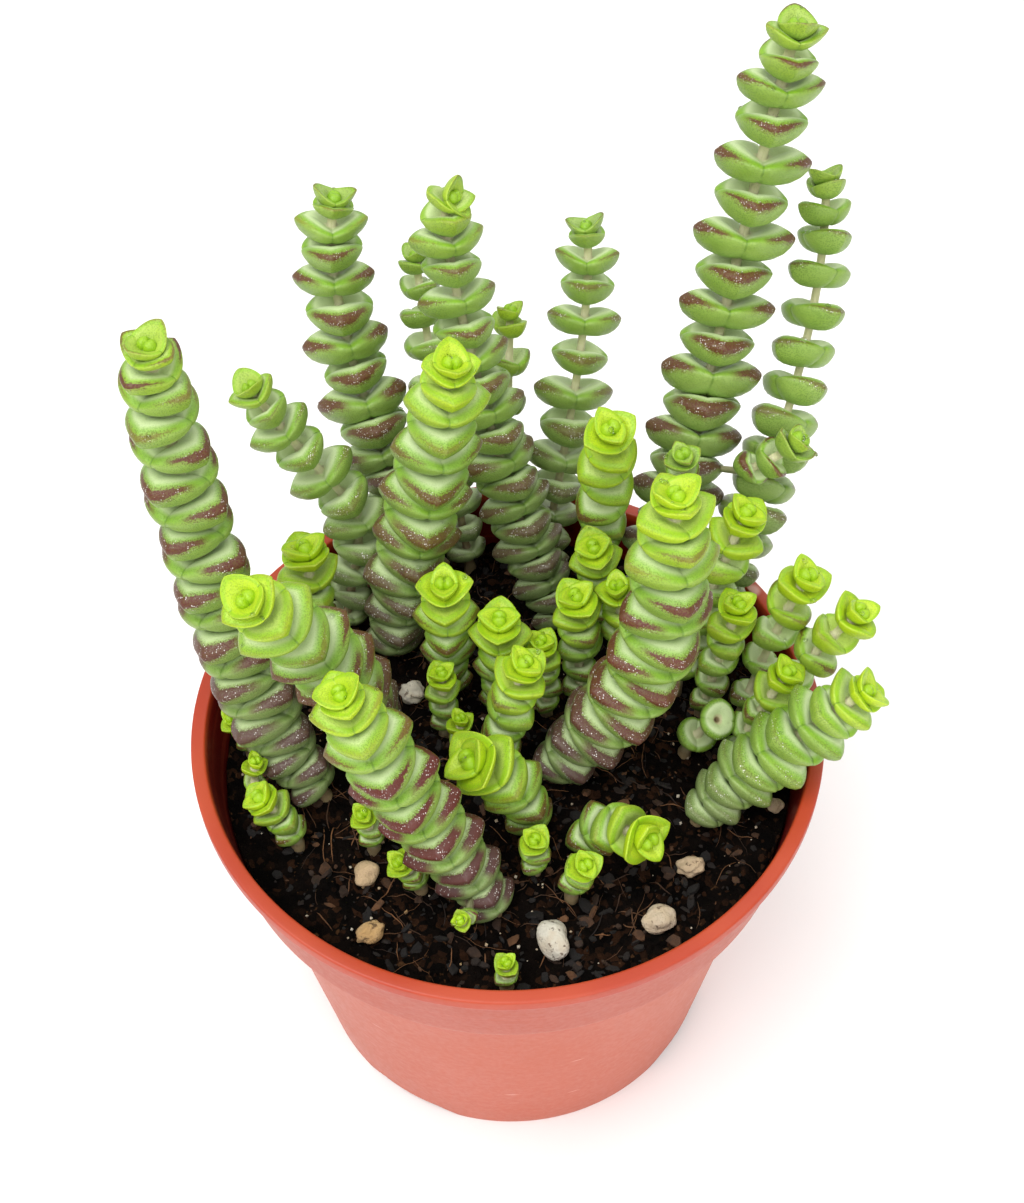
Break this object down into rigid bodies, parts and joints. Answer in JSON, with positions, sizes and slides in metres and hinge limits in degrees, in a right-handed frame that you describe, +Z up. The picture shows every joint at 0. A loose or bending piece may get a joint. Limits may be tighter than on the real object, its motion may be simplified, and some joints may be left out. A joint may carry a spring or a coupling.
{
  "type": "potted baby necklace crassula",
  "caption": "Small succulent with thick opposite leaf pairs threaded on upright stems, growing in peat in a round tapered plastic nursery pot.",
  "frame": {"origin": "middle of the pot's flat underside, on the plane that the pot stands on", "axes": "+Z up along the pot's axis, +X to the right and -Y towards the viewer as the plant is pictured"},
  "size_m": [0.1166, 0.1246, 0.1782],
  "materials": {
    "pot": "satin",
    "soil": "matte",
    "leaf": "satin",
    "perlite": "matte"
  },
  "bodies": {
    "root": {"pot": "pot", "soil": "soil", "stem_back": "leaf", "stem_back_left": "leaf", "stem_far_right": "leaf", "stem_front": "leaf", "stem_front_right": "leaf", "stem_left": "leaf", "stem_low_back": "leaf", "stem_low_left": "leaf", "stem_middle": "leaf", "stem_over_rim": "leaf", "stem_tall_left": "leaf", "stem_tall_middle": "leaf", "stem_tall_right": "leaf", "shoot_back_round": "leaf", "shoot_back_thin": "leaf", "shoot_cut": "leaf", "shoot_front_large": "leaf", "shoot_front_left_1": "leaf", "shoot_front_left_2": "leaf", "shoot_front_low": "leaf", "shoot_front_small": "leaf", "shoot_front_wall": "leaf", "shoot_front_wide": "leaf", "shoot_left_high": "leaf", "shoot_left_low": "leaf", "shoot_left_upper": "leaf", "shoot_left_wall": "leaf", "shoot_middle_1": "leaf", "shoot_middle_2": "leaf", "shoot_middle_3": "leaf", "shoot_middle_4": "leaf", "shoot_middle_5": "leaf", "shoot_middle_6": "leaf", "shoot_middle_7": "leaf", "shoot_middle_8": "leaf", "shoot_middle_9": "leaf", "shoot_right_lower": "leaf", "shoot_right_upper": "leaf", "shoot_rim_back": "leaf", "shoot_rim_front": "leaf", "shoot_rim_inner": "leaf", "perlite_1": "perlite", "perlite_2": "perlite", "perlite_3": "perlite", "perlite_4": "perlite", "perlite_5": "perlite", "perlite_6": "perlite", "perlite_7": "perlite", "perlite_8": "perlite"}
  },
  "joints": []
}
